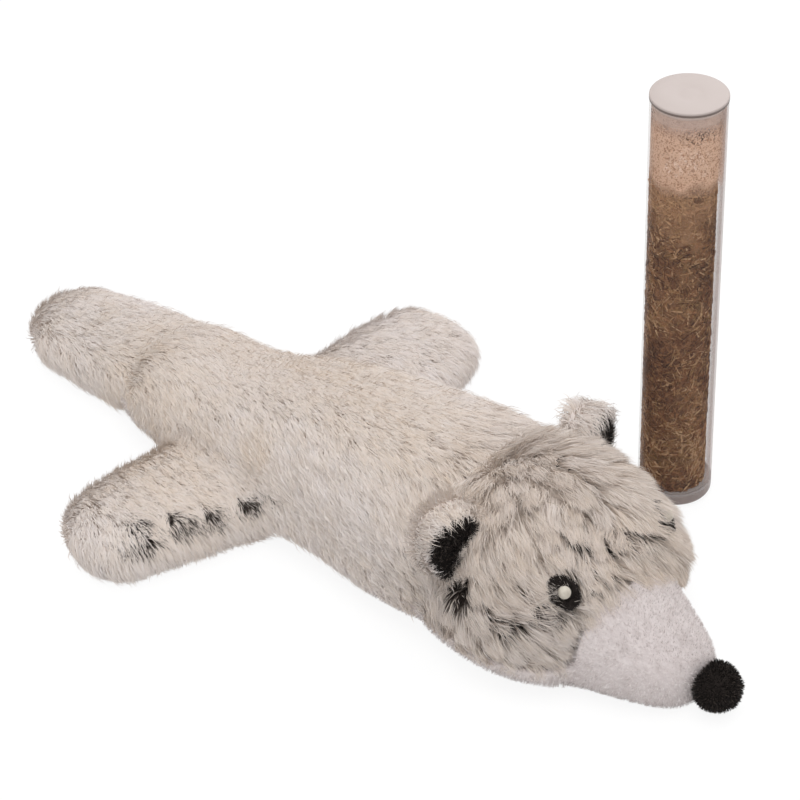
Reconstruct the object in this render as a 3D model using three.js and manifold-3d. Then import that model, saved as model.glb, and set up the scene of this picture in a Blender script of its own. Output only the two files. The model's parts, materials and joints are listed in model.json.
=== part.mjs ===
// Flat stuffed fur mouse that takes a charge of catnip, with the clear tube that holds the refill.
// Millimetres, +Z up, +X towards the nose, +Y on the animal's left.
// The origin is on the floor, under the flat of the belly.

import * as THREE from "three";
import { mergeVertices } from "three/addons/utils/BufferGeometryUtils.js";
import Module from "manifold-3d";

const wasm = await Module();
wasm.setup();

const gap = 0.3; // between pieces that touch

// Stuffed forms: the exponent of their sections, where 2 is an ellipse, and how finely they are drawn
const roundness = 2.3;
const formRows = 18;
const formPoints = 24;
const insideRows = 12;
const insidePoints = 20;

// Fabric
const pileDepth = 6; // long fur with its backing
const plushDepth = 1.5; // short white plush with its backing
const bellyFlat = 0.5; // how deep the belly is pressed flat by the floor
const seamHeight = 8.5; // of the seam between the fur and the belly

// Body: sections from the rump to the neck
const rumpX = -76;
const neckX = 40;
const bodyHalfWidth = 24.5;
const bodyHeight = 36.5;
const bodySections = sized(bodyHalfWidth, bodyHeight, [
  { at: 0, wide: 0.367, high: 0.411, low: 0.082 },
  { at: 0.07, wide: 0.612, high: 0.548, low: 0.016 },
  { at: 0.22, wide: 0.735, high: 0.63, low: 0 },
  { at: 0.42, wide: 0.87, high: 0.775, low: 0 },
  { at: 0.62, wide: 0.918, high: 0.932, low: 0 },
  { at: 0.8, wide: 1, high: 1, low: 0 },
  { at: 0.93, wide: 0.898, high: 0.932, low: 0.022 },
  { at: 1, wide: 0.531, high: 0.74, low: 0.11 },
]);

// Head: sections from behind the ears to the edge of the fur on the snout
const napeX = 22;
const muzzleX = 63;
const headHalfWidth = 26.5;
const headHeight = 38.5;
const headSections = sized(headHalfWidth, headHeight, [
  { at: 0, wide: 0.642, high: 0.805, low: 0.078 },
  { at: 0.15, wide: 0.906, high: 0.974, low: 0.021 },
  { at: 0.45, wide: 1, high: 1, low: 0 },
  { at: 0.72, wide: 0.962, high: 0.883, low: 0 },
  { at: 0.92, wide: 0.792, high: 0.688, low: 0.021 },
  { at: 1, wide: 0.415, high: 0.519, low: 0.104 },
]);

// Snout: sections from inside the head to the nose, which it bends round to
const snoutRootX = 48;
const snoutTipX = 81.5;
const snoutHalfWidth = 18;
const snoutHeight = 26;
const snoutSections = sized(snoutHalfWidth, snoutHeight, [
  { at: 0, wide: 1, high: 1, low: 0.023, aside: 0 },
  { at: 0.35, wide: 0.917, high: 0.904, low: 0, aside: -0.089 },
  { at: 0.65, wide: 0.722, high: 0.685, low: 0, aside: -0.111 },
  { at: 0.9, wide: 0.489, high: 0.485, low: 0, aside: -0.1 },
  { at: 1, wide: 0.278, high: 0.365, low: 0.046, aside: -0.044 },
]);
const noseRadius = 5.3;
const noseReach = 3.5; // of the nose's middle past the snout's tip
const noseHeight = 5.8;

// Tail: sections from the rump to the tip
const tailLength = 42;
const tailOverlap = 9; // of the tail's root with the rump, before it is cut
const tailHalfWidth = 14.5;
const tailHeight = 17.5;
const tailSections = sized(tailHalfWidth, tailHeight, [
  { at: 0, wide: 1.048, high: 1, low: 0.034, aside: 0.069 },
  { at: 0.25, wide: 1.048, high: 0.943, low: 0, aside: 0.048 },
  { at: 0.65, wide: 0.938, high: 0.829, low: 0 },
  { at: 0.88, wide: 0.724, high: 0.743, low: 0.034 },
  { at: 1, wide: 0.345, high: 0.543, low: 0.171 },
]);

// Legs: sections from the body's side to the toes
const legRootX = -33;
const legRootY = 12;
const legLength = 43;
const legHalfWidth = 16;
const legHeight = 13.5;
const legSections = sized(legHalfWidth, legHeight, [
  { at: 0, wide: 1, high: 1, low: 0.044 },
  { at: 0.35, wide: 0.938, high: 1, low: 0 },
  { at: 0.7, wide: 0.844, high: 0.963, low: 0 },
  { at: 0.9, wide: 0.688, high: 0.889, low: 0.044 },
  { at: 1, wide: 0.344, high: 0.63, low: 0.222 },
]);
const legSweep = { left: 3, right: 10 }; // degrees towards the tail
const limbSeam = 6.5; // height of the side seam of the legs and the tail

// How far the sewn-on pieces fold, in degrees
const limbDroop = 20;
const limbLift = 60;
const earFold = 25;
const legCreaseOut = 0.7; // of the crease over each leg from the body's side
const legCreaseUp = 0.3; // of that crease from the top of the leg
const tailCreaseIn = 3; // of the crease over the tail from the rump

// Ears, sewn on by hand, so the two differ a little
const earWidth = 14;
const earHeight = 17;
const earFurDepth = 4.6;
const earLiningDepth = 1.4;
const earAt = { left: 0.317, right: 0.354 }; // share of the way along the head
const earSpread = 20.5; // of the ear's foot from the middle of the head
const earFoot = { left: 18, right: 20 }; // height of the lowest point of the ear
const earLean = 16; // degrees that the ears lean outwards
const earTurn = 18; // degrees that the linings turn outwards from the nose
const earRim = 1.2; // of fur round the lining
const earSeamUp = 6; // of the middle of the ear's seam from its foot
const earSeamOut = 2.1; // of that middle from the head's side
const earSeamLean = 37; // degrees that the seam leans inwards

// Eyes
const eyeWidth = 7.4;
const eyeHeight = 5.8;
const eyeFelt = 1.2;
const eyeBead = 2.7;
const eyeBeadDepth = 1.6;
const eyeBeadGap = 0.15;
const eyeAt = 0.876; // share of the way along the head
const eyeSpread = 0.668; // share of the head's half width there
const eyeTurn = 35; // degrees that the eyes look outwards
const eyeLift = 38; // degrees that they look up
const eyeSunk = 4; // how deep the felt reaches before it is cut to the head

// Pocket for the catnip, in the belly
const pocketX = -31;
const pocketLength = 34;
const pocketWidth = 19;
const pocketDepth = 8.4;
const pocketFoot = 2.1; // height of the lining's edge
const liningWall = 0.8;
const tapeInset = 1.5; // from the sides of the window
const tapeWidth = 4.5;
const tapeDepth = 0.9;
const tapeGap = 0.15;
const pouchFullness = [0.35, 0.85, 1, 0.85, 0.35]; // along the pouch

// Refill tube
const tubeX = 34.2;
const tubeY = 50.4;
const tubeRadius = 7.9;
const tubeWall = 1;
const tubeHeight = 97.3;
const tubeCorner = 1.6;
const tubeFloor = 3.2; // height of the inside's floor
const tubePunt = 1.7; // depth of the hollow under the floor
const footRing = 2.4; // width of the ring that it stands on
const capDepth = 0.9;
const capOverhang = 0.1;
const capSkirt = 5.2;
const capWall = 0.9;
const capFit = 0.1; // between the cap's skirt and the tube
const seatGap = 0.05; // under the cap and the catnip
const catnipHeight = 72;
const catnipFit = 0.2; // between the catnip and the tube
const roundSides = 40;

const colours = {
  fur: [0xd9d5cd, 0.95],
  plush: [0xe6e2e4, 0.9],
  stuffing: [0xf2f2f0, 1],
  black: [0x17161a, 0.95],
  bead: [0xe4dfd2, 0.35],
  muslin: [0xd8ccb2, 1],
  tape: [0xeeeeec, 0.9],
  clear: [0xe0dcdc, 0.08],
  cap: [0xdcd3cf, 0.4],
  catnip: [0x6b4e38, 1],
};

const material = (name) => {
  const [color, roughness] = colours[name];
  return new THREE.MeshStandardMaterial({ color, roughness, metalness: 0 });
};

const degrees = THREE.MathUtils.degToRad;
const { lerp } = THREE.MathUtils;

// The sections of a form, from their shares of its half width and height.
function sized(halfWidth, height, shares) {
  return shares.map(({ at, wide, high, low, aside = 0 }) => ({
    at,
    halfWidth: wide * halfWidth,
    top: high * height,
    bottom: low * height,
    shift: aside * halfWidth,
  }));
}

// A closed body through rings of points that all have as many points, closed by a fan at each end.
function loft(rings) {
  const count = rings[0].length;
  const points = rings.flat();
  const middle = (ring) => ring.reduce((sum, p) => sum.add(p), new THREE.Vector3()).divideScalar(count);
  const first = points.push(middle(rings[0])) - 1;
  const last = points.push(middle(rings.at(-1))) - 1;
  const faces = [];
  for (let i = 0; i < count; i++) {
    const next = (i + 1) % count;
    faces.push(first, next, i);
    for (let r = 0; r < rings.length - 1; r++) {
      const [a, b] = [r * count + i, r * count + next];
      faces.push(a, b, b + count, a, b + count, a + count);
    }
    const end = (rings.length - 1) * count;
    faces.push(last, end + i, end + next);
  }
  const geometry = new THREE.BufferGeometry().setFromPoints(points);
  geometry.setIndex(faces);
  return geometry;
}

// A smooth row of sections between the given ones.
function between(sections, count) {
  const curve = (key) => new THREE.SplineCurve(sections.map((s) => new THREE.Vector2(s.at, s[key])));
  const curves = ["halfWidth", "top", "bottom", "shift"].map((key) => [key, curve(key)]);
  return Array.from({ length: count }, (_, i) => {
    const t = i / (count - 1);
    const section = Object.fromEntries(curves.map(([key, line]) => [key, line.getPoint(t).y]));
    return { at: curves[0][1].getPoint(t).x, ...section };
  });
}

// The section of a form at a share of its length, and the height of its top there, off its middle.
function sectionAt(sections, share) {
  const fine = between(sections, 400);
  return fine.reduce((best, s) => (Math.abs(s.at - share) < Math.abs(best.at - share) ? s : best));
}

function heightOff(section, seam, y) {
  const rise = (1 - (y / section.halfWidth) ** roundness) ** (1 / roundness);
  return seam + (section.top - seam) * rise - bellyFlat;
}

function sideAt(section, seam, z) {
  const up = (z + bellyFlat - seam) / (section.top - seam);
  return section.halfWidth * (1 - up ** roundness) ** (1 / roundness);
}

// A stuffed form along X: sections, where it starts and ends, its seam, and how much it is grown by.
function stuffed(sections, fromX, toX, seam, grow = {}, rows = formRows, points = formPoints) {
  const { side = 0, top = 0, bottom = 0, ends = 0 } = grow;
  const direction = Math.sign(toX - fromX);
  const rings = between(sections, rows).map((s) => {
    const x = lerp(fromX - direction * ends, toX + direction * ends, s.at);
    return Array.from({ length: points }, (_, i) => {
      const turn = (2 * Math.PI * i) / points;
      const power = (value) => Math.sign(value) * Math.abs(value) ** (2 / roundness);
      const across = Math.max(s.halfWidth + side, 1) * power(Math.cos(turn));
      const height = Math.sin(turn) > 0 ? s.top + top - seam : seam - s.bottom + bottom;
      const z = seam + Math.max(height, 1) * power(Math.sin(turn));
      return new THREE.Vector3(x, direction * across + s.shift, z);
    });
  });
  return solid(loft(rings));
}

// The solid of a closed geometry.
function solid(geometry) {
  const bare = geometry.clone();
  for (const name of Object.keys(bare.attributes)) {
    if (name !== "position") bare.deleteAttribute(name);
  }
  const merged = mergeVertices(bare, 1e-5);
  return new wasm.Manifold(
    new wasm.Mesh({
      numProp: 3,
      vertProperties: new Float32Array(merged.attributes.position.array),
      triVerts: new Uint32Array(merged.index.array),
    }),
  );
}

function placed(shape, place) {
  return shape.transform(place.elements);
}

function geometryOf(shape) {
  const mesh = shape.getMesh();
  const geometry = new THREE.BufferGeometry();
  geometry.setAttribute("position", new THREE.BufferAttribute(mesh.vertProperties, mesh.numProp));
  geometry.setIndex(new THREE.BufferAttribute(mesh.triVerts, 1));
  return geometry;
}

const group = new THREE.Group();

function add(name, shape, colour) {
  const geometry = shape.isBufferGeometry ? shape : geometryOf(shape);
  const mesh = new THREE.Mesh(geometry, material(colour));
  mesh.name = name;
  group.add(mesh);
  return mesh;
}

// A box from its middle in X and Y, its underside and its size.
function block(x, y, underside, length, width, height) {
  const geometry = new THREE.BoxGeometry(length, width, height);
  geometry.translate(x, y, underside + height / 2);
  return solid(geometry);
}

// A turn about a line through a point, as a hinge makes it.
function turnAbout(point, axis, angle) {
  const to = new THREE.Matrix4().makeTranslation(point.x, point.y, point.z);
  const back = new THREE.Matrix4().makeTranslation(-point.x, -point.y, -point.z);
  return to.multiply(new THREE.Matrix4().makeRotationAxis(axis, degrees(angle))).multiply(back);
}

// What is left of a hinged piece once it clears the larger one through its whole fold.
function clearedOf(piece, larger, point, axis, angles) {
  return angles.reduce((left, angle) => left.subtract(placed(larger, turnAbout(point, axis, -angle))), piece);
}

const everywhere = 400;
const aboveFloor = block(0, 0, 0, everywhere, everywhere, everywhere);
const aboveSeam = block(0, 0, seamHeight + gap / 2, everywhere, everywhere, everywhere);
const belowSeam = block(0, 0, seamHeight - gap / 2 - everywhere, everywhere, everywhere, everywhere);

// Every soft form lies bellyFlat into the floor, which presses it flat there
const laid = (shape) => shape.translate([0, 0, -bellyFlat]);
const pressed = (shape) => laid(shape).intersect(aboveFloor);
const evenly = (by) => ({ side: by, top: by, bottom: by, ends: by });

const bodyForm = (grow, rows, points) =>
  laid(stuffed(bodySections, rumpX, neckX, seamHeight, grow, rows, points));
const headForm = (grow, rows, points) =>
  laid(stuffed(headSections, napeX, muzzleX, seamHeight, grow, rows, points));

const body = bodyForm({}).intersect(aboveFloor);
const head = headForm({}).intersect(aboveFloor);
const bodyClear = bodyForm(evenly(gap));
const headClear = headForm(evenly(gap));

// The space inside the fur, and the wider one inside the belly's thinner plush
const furSpace = evenly(-pileDepth);
const plushSpace = { side: -plushDepth, top: -pileDepth, bottom: -plushDepth, ends: -plushDepth };
const space = (form, grow) => form(grow, insideRows, insidePoints);

const liningTop = pocketFoot + pocketDepth;

// The room that the pocket's lining takes, from a height up
const roundPocket = (from) =>
  block(
    pocketX,
    0,
    from,
    pocketLength + 2 * (liningWall + gap),
    pocketWidth + 2 * (liningWall + gap),
    liningTop + gap - from,
  );

function addShells() {
  const window = block(pocketX, 0, -1, pocketLength, pocketWidth, 1 + liningTop);
  const lowSpace = space(bodyForm, plushSpace).add(space(headForm, plushSpace));
  const fur = (form, grow) => form.intersect(aboveSeam).subtract(space(grow, furSpace));
  add("back_fur", fur(body, bodyForm), "fur");
  add("head_fur", fur(head, headForm).subtract(bodyClear), "fur");
  const belly = body.add(head).intersect(belowSeam).subtract(lowSpace);
  add("belly_panel", belly.subtract(window).subtract(roundPocket(pocketFoot - gap)), "plush");
}

// The stuffing lies a little clear of the fabric round it
function stuffing(form) {
  const less = (grow) => Object.fromEntries(Object.entries(grow).map(([key, by]) => [key, by - gap]));
  const upper = space(form, less(furSpace));
  const lower = space(form, less(plushSpace)).intersect(belowSeam);
  return upper.intersect(block(0, 0, seamHeight - gap, everywhere, everywhere, everywhere)).add(lower);
}

const windowFront = pocketX + pocketLength / 2;
const windowRear = pocketX - pocketLength / 2;
const flapTop = plushDepth - bellyFlat;
const hookFoot = flapTop + tapeGap;
const loopFoot = hookFoot + tapeDepth + tapeGap;
const lipFoot = loopFoot + tapeDepth + tapeGap;

function addStuffing() {
  add("body_stuffing", stuffing(bodyForm).subtract(roundPocket(-1)), "stuffing");
  add("head_stuffing", stuffing(headForm).subtract(bodyForm(evenly(gap), insideRows)), "stuffing");
}

// The pocket's window in the belly has a lining over it, with a lip that the flap is taped to
function addPocket() {
  const outer = block(
    pocketX,
    0,
    pocketFoot,
    pocketLength + 2 * liningWall,
    pocketWidth + 2 * liningWall,
    pocketDepth,
  );
  const inner = block(pocketX, 0, pocketFoot - 1, pocketLength, pocketWidth, 1 + pocketDepth - liningWall);
  const lipLength = tapeWidth + gap;
  const lip = block(windowFront - lipLength / 2, 0, lipFoot, lipLength, pocketWidth, liningWall);
  add("pocket_lining", outer.subtract(inner).add(lip), "stuffing");
  const tapeX = windowFront - gap - tapeWidth / 2;
  const tapeLength = pocketWidth - 2 * tapeInset;
  add("loop_tape", block(tapeX, 0, loopFoot, tapeWidth, tapeLength, tapeDepth), "tape");
  add("hook_tape", block(tapeX, 0, hookFoot, tapeWidth, tapeLength, tapeDepth), "tape");
  add(
    "pocket_flap",
    block(pocketX, 0, 0, pocketLength - 2 * gap, pocketWidth - 2 * gap, flapTop),
    "plush",
  );
  const pouchRear = windowRear + gap;
  const pouchFront = windowFront - lipLength - gap;
  const [pouchFoot, pouchTop] = [flapTop + gap, liningTop - liningWall - gap];
  const halfWidth = pocketWidth / 2 - gap;
  const middle = (pouchFoot + pouchTop) / 2;
  const pouchSections = pouchFullness.map((full, i, all) => ({
    at: i / (all.length - 1),
    halfWidth: halfWidth * (0.75 + 0.25 * full),
    top: lerp(middle, pouchTop, full),
    bottom: lerp(middle, pouchFoot, full),
    shift: 0,
  }));
  const pouch = stuffed(pouchSections, pouchRear, pouchFront, middle, {}, insideRows, insidePoints);
  add("catnip_pouch", pouch, "muslin");
}

function addSnout() {
  const form = (grow) => laid(stuffed(snoutSections, snoutRootX, snoutTipX, seamHeight, grow));
  add("snout", form({}).intersect(aboveFloor).subtract(headClear), "plush");
  const ball = new THREE.IcosahedronGeometry(noseRadius, 3);
  ball.translate(snoutTipX + noseReach, 0, noseHeight);
  add("nose_pompom", solid(ball).subtract(form(evenly(gap))), "black");
}

const upright = new THREE.Vector3(0, 0, 1);
const across = new THREE.Vector3(0, 1, 0);
const forwards = new THREE.Vector3(1, 0, 0);

const limbFolds = [-limbDroop, -limbDroop / 2, 0, limbLift / 2, limbLift];

// The share of the body's length at an X
const alongBody = (x) => (x - rumpX) / (neckX - rumpX);

function addTail() {
  const hingeX = rumpX + tailCreaseIn;
  const rump = sectionAt(bodySections, alongBody(hingeX));
  const hinge = new THREE.Vector3(hingeX, 0, rump.top);
  const root = rumpX + tailOverlap;
  const tail = pressed(stuffed(tailSections, root, root - tailLength, limbSeam));
  add("tail", clearedOf(tail, bodyClear, hinge, across, limbFolds), "fur");
}

function addLeg(name, side) {
  const along = stuffed(legSections, 0, legLength, limbSeam);
  const place = new THREE.Matrix4().makeTranslation(legRootX, side * legRootY, -bellyFlat);
  place.multiply(new THREE.Matrix4().makeRotationZ(side * degrees(90 + legSweep[name])));
  const leg = placed(along, place).intersect(aboveFloor);
  const hingeY = sectionAt(bodySections, alongBody(legRootX)).halfWidth + legCreaseOut;
  const hinge = new THREE.Vector3(legRootX, side * hingeY, legHeight + legCreaseUp);
  const axis = forwards.clone().multiplyScalar(side);
  add(`${name}_leg`, clearedOf(leg, bodyClear, hinge, axis, limbFolds), "fur");
}

// The outline of an ear: a bean with its hollow towards the head, pointed at its foot
function earOutline(inset) {
  const [w, h] = [earWidth / 2 - inset, earHeight - 2 * inset];
  const shape = new THREE.Shape();
  shape.moveTo(-0.1 * w, inset);
  shape.bezierCurveTo(w, 0.05 * h + inset, 1.15 * w, 0.7 * h + inset, 0.45 * w, 0.93 * h + inset);
  shape.bezierCurveTo(-0.1 * w, 1.08 * h + inset, -w, h + inset, -w, 0.72 * h + inset);
  shape.bezierCurveTo(-w, 0.5 * h + inset, -0.55 * w, 0.2 * h + inset, -0.1 * w, inset);
  return shape;
}

function addEar(name, side) {
  const normal = new THREE.Vector3(1, 0, 0).applyAxisAngle(upright, degrees(earTurn));
  const out = new THREE.Vector3().crossVectors(upright, normal);
  const up = upright.clone().applyAxisAngle(normal, -degrees(earLean));
  out.applyAxisAngle(normal, -degrees(earLean));
  const place = new THREE.Matrix4().makeBasis(out, up, normal);
  const earX = lerp(napeX, muzzleX, earAt[name]);
  place.setPosition(earX, earSpread, earFoot[name]);
  if (side < 0) place.premultiply(new THREE.Matrix4().makeScale(1, -1, 1));
  const hingeZ = earFoot[name] + earSeamUp;
  const headSide = sideAt(sectionAt(headSections, earAt[name]), seamHeight, hingeZ);
  const hinge = new THREE.Vector3(earX, side * (headSide + earSeamOut), hingeZ);
  const axis = upright.clone().applyAxisAngle(forwards, side * degrees(earSeamLean));
  const folds = [-earFold, -earFold / 2, 0, earFold / 2, earFold];
  const layer = (inset, from, depth) => {
    const geometry = new THREE.ExtrudeGeometry(earOutline(inset), {
      depth,
      bevelEnabled: false,
      curveSegments: 8,
    });
    geometry.translate(0, 0, from);
    const shape = placed(solid(geometry), place);
    return clearedOf(shape, headClear, hinge, axis, folds);
  };
  add(`${name}_ear_fur`, layer(0, -earFurDepth, earFurDepth), "fur");
  add(`${name}_ear_lining`, layer(earRim, gap, earLiningDepth), "black");
}

function addEye(name, side) {
  const normal = new THREE.Vector3(Math.cos(degrees(eyeTurn)), side * Math.sin(degrees(eyeTurn)), 0);
  normal.multiplyScalar(Math.cos(degrees(eyeLift))).setZ(Math.sin(degrees(eyeLift)));
  const place = new THREE.Matrix4().makeRotationFromQuaternion(
    new THREE.Quaternion().setFromUnitVectors(upright, normal),
  );
  const brow = sectionAt(headSections, eyeAt);
  const eyeY = eyeSpread * brow.halfWidth;
  place.setPosition(lerp(napeX, muzzleX, eyeAt), side * eyeY, heightOff(brow, seamHeight, eyeY) + gap);
  const disc = new THREE.CylinderGeometry(eyeWidth / 2, eyeWidth / 2, eyeSunk + eyeFelt, 24);
  disc.rotateX(Math.PI / 2);
  disc.scale(1, eyeHeight / eyeWidth, 1);
  disc.translate(0, 0, (eyeFelt - eyeSunk) / 2);
  add(`${name}_eye_felt`, placed(solid(disc), place).subtract(headClear), "black");
  const dome = new THREE.Path();
  dome.moveTo(0, 0);
  dome.lineTo(eyeBead / 2, 0);
  dome.absellipse(0, 0, eyeBead / 2, eyeBeadDepth, 0, Math.PI / 2);
  const bead = new THREE.LatheGeometry(dome.getPoints(5), 16);
  bead.rotateX(Math.PI / 2);
  bead.translate(0, 0, eyeFelt + eyeBeadGap);
  add(`${name}_eye_bead`, placed(solid(bead), place), "bead");
}

function lathed(path, divisions) {
  const geometry = new THREE.LatheGeometry(path.getPoints(divisions), roundSides);
  geometry.rotateX(Math.PI / 2);
  return geometry;
}

function addTube() {
  const bore = tubeRadius - tubeWall;
  const hollow = tubeRadius - footRing;
  const wall = new THREE.Path();
  wall.moveTo(0, tubePunt);
  wall.lineTo(hollow - tubePunt, tubePunt);
  wall.lineTo(hollow, 0);
  wall.lineTo(tubeRadius - tubeCorner, 0);
  wall.absarc(tubeRadius - tubeCorner, tubeCorner, tubeCorner, -Math.PI / 2, 0);
  wall.lineTo(tubeRadius, tubeHeight);
  wall.lineTo(bore, tubeHeight);
  wall.lineTo(bore, tubeFloor);
  wall.lineTo(0, tubeFloor);
  const skirt = bore - capFit;
  const cap = new THREE.Path();
  const rim = tubeHeight + seatGap;
  cap.moveTo(0, rim);
  cap.lineTo(skirt - capWall, rim);
  cap.lineTo(skirt - capWall, rim - capSkirt);
  cap.lineTo(skirt, rim - capSkirt);
  cap.lineTo(skirt, rim);
  cap.lineTo(tubeRadius + capOverhang, rim);
  cap.lineTo(tubeRadius + capOverhang, rim + capDepth);
  cap.lineTo(0, rim + capDepth);
  const charge = new THREE.Path();
  const foot = tubeFloor + seatGap;
  charge.moveTo(0, foot);
  charge.lineTo(bore - catnipFit, foot);
  charge.lineTo(bore - catnipFit, foot + catnipHeight);
  charge.lineTo(0, foot + catnipHeight);
  for (const [name, path, colour] of [
    ["tube_wall", wall, "clear"],
    ["tube_cap", cap, "cap"],
    ["catnip_charge", charge, "catnip"],
  ]) {
    const mesh = add(name, geometryOf(solid(lathed(path, 6))), colour);
    mesh.position.set(tubeX, tubeY, 0);
  }
}

addShells();
addStuffing();
addPocket();
addSnout();
addTail();
for (const [name, side] of [["left", 1], ["right", -1]]) {
  addLeg(name, side);
  addEar(name, side);
  addEye(name, side);
}
addTube();

export default group;
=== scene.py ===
import json
import math

import bpy
import numpy as np
from mathutils import Matrix, Vector, kdtree
from mathutils.bvhtree import BVHTree
from numpy.linalg import norm

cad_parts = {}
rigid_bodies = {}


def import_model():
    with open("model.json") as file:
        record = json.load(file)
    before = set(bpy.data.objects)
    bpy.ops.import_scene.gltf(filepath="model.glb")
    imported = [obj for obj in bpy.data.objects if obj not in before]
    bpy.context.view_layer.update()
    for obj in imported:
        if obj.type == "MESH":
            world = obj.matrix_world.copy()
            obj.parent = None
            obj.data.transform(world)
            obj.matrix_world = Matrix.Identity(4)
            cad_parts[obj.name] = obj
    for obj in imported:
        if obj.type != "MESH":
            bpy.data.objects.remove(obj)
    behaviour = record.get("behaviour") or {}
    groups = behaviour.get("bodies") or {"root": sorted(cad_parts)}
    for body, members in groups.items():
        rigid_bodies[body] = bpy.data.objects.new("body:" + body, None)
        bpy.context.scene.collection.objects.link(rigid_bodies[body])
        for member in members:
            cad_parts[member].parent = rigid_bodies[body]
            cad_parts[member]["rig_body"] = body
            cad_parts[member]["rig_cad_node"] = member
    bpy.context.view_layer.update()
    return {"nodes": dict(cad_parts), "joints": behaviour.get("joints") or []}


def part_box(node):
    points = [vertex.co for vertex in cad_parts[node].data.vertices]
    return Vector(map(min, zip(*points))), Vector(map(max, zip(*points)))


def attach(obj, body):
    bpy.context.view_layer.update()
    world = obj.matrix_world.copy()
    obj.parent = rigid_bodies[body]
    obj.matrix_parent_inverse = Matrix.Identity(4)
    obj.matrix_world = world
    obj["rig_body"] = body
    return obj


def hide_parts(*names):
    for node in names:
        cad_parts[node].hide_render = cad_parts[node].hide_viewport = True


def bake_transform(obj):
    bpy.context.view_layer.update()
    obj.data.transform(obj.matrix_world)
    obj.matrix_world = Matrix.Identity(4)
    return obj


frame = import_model()
scene = bpy.context.scene
nodes = frame["nodes"]
hinges = {joint["child"]: Vector(joint["pos_m"]) for joint in frame["joints"] if "pos_m" in joint}
mm = 0.001
thin = 1
print("frame loaded")


# Selecting, changing and copying
def only(*objects):
    bpy.ops.object.select_all(action="DESELECT")
    for o in objects:
        o.select_set(True)
    bpy.context.view_layer.objects.active = objects[0]


def linked(obj):
    scene.collection.objects.link(obj)
    return obj


def named(name):
    obj = bpy.context.view_layer.objects.active
    obj.name = obj.data.name = name
    return obj


def placed(obj):
    only(obj)
    bpy.ops.object.transform_apply(location=True, rotation=True, scale=True)
    return obj


def modified(obj, kind, **settings):
    modifier = obj.modifiers.new(kind.title(), kind)
    for key, value in settings.items():
        setattr(modifier, key, value)
    only(obj)
    bpy.ops.object.modifier_apply(modifier=modifier.name)


def mode(name):
    bpy.ops.object.mode_set(mode=name)


def editing(obj):
    only(obj)
    mode("EDIT")
    bpy.ops.mesh.select_mode(type="FACE")
    bpy.ops.mesh.select_all(action="SELECT")


# Selects the faces of a mesh in edit mode whose centre and normal pass a test
def pick(obj, wanted):
    bpy.ops.mesh.select_all(action="DESELECT")
    mode("OBJECT")
    for face in obj.data.polygons:
        face.select = bool(wanted(face.center, face.normal))
    mode("EDIT")


# The soft form of some CAD pieces together: one closed surface with its facets smoothed away
def softForm(names, name, voxel, smoothing, fillers=()):
    copies = []
    for node in names:
        twin = nodes[node].copy()
        twin.data = nodes[node].data.copy()
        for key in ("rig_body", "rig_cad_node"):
            del twin[key]
        twin.parent = None
        twin.data.materials.clear()
        linked(twin)
        twin.hide_render = twin.hide_viewport = False
        copies.append(twin)
    for centre, radii in fillers:
        bpy.ops.mesh.primitive_uv_sphere_add(segments=24, ring_count=12, radius=mm, location=Vector(centre) * mm)
        bpy.context.object.scale = radii
        copies.append(placed(bpy.context.object))
    only(*copies)
    if len(copies) > 1:
        bpy.ops.object.join()
    form = named(name)
    editing(form)
    bpy.ops.mesh.remove_doubles(threshold=0.01 * mm)
    mode("OBJECT")
    modified(form, "REMESH", mode="VOXEL", voxel_size=voxel * mm)
    modified(form, "SMOOTH", factor=0.5, iterations=smoothing)
    bpy.ops.object.shade_smooth()
    return form


def finished(obj, body, slot, material, *replaced, fill=None):
    obj.data.materials.append(material)
    if isinstance(body, str):
        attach(obj, body)
    else:
        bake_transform(obj)
    if replaced:
        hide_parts(*replaced)


limbTurn = 5  # how far before and after its hinge the cloth of a limb turns, in millimetres


def overHinge(limb):
    hinge = hinges[limb]
    out = Vector((-1, 0, 0)) if limb == "tail" else Vector((0, math.copysign(1, hinge.y), 0))
    return "body", limb, hinge - out * limbTurn * mm, hinge + out * limbTurn * mm


# Shader nodes: an expression on wires adds its Math nodes
class Wire:
    def __init__(self, finish, socket):
        self.finish, self.socket = finish, socket

    def maths(self, operation, *others):
        return self.finish.node("Math", {"operation": operation}, self, *others)

    def __add__(self, other):
        return self.maths("ADD", other)

    def __sub__(self, other):
        return self.maths("SUBTRACT", other)

    def __rsub__(self, other):
        return self.finish.node("Math", {"operation": "SUBTRACT"}, other, self)

    def __mul__(self, other):
        return self.maths("MULTIPLY", other)

    __radd__, __rmul__ = __add__, __mul__


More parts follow.
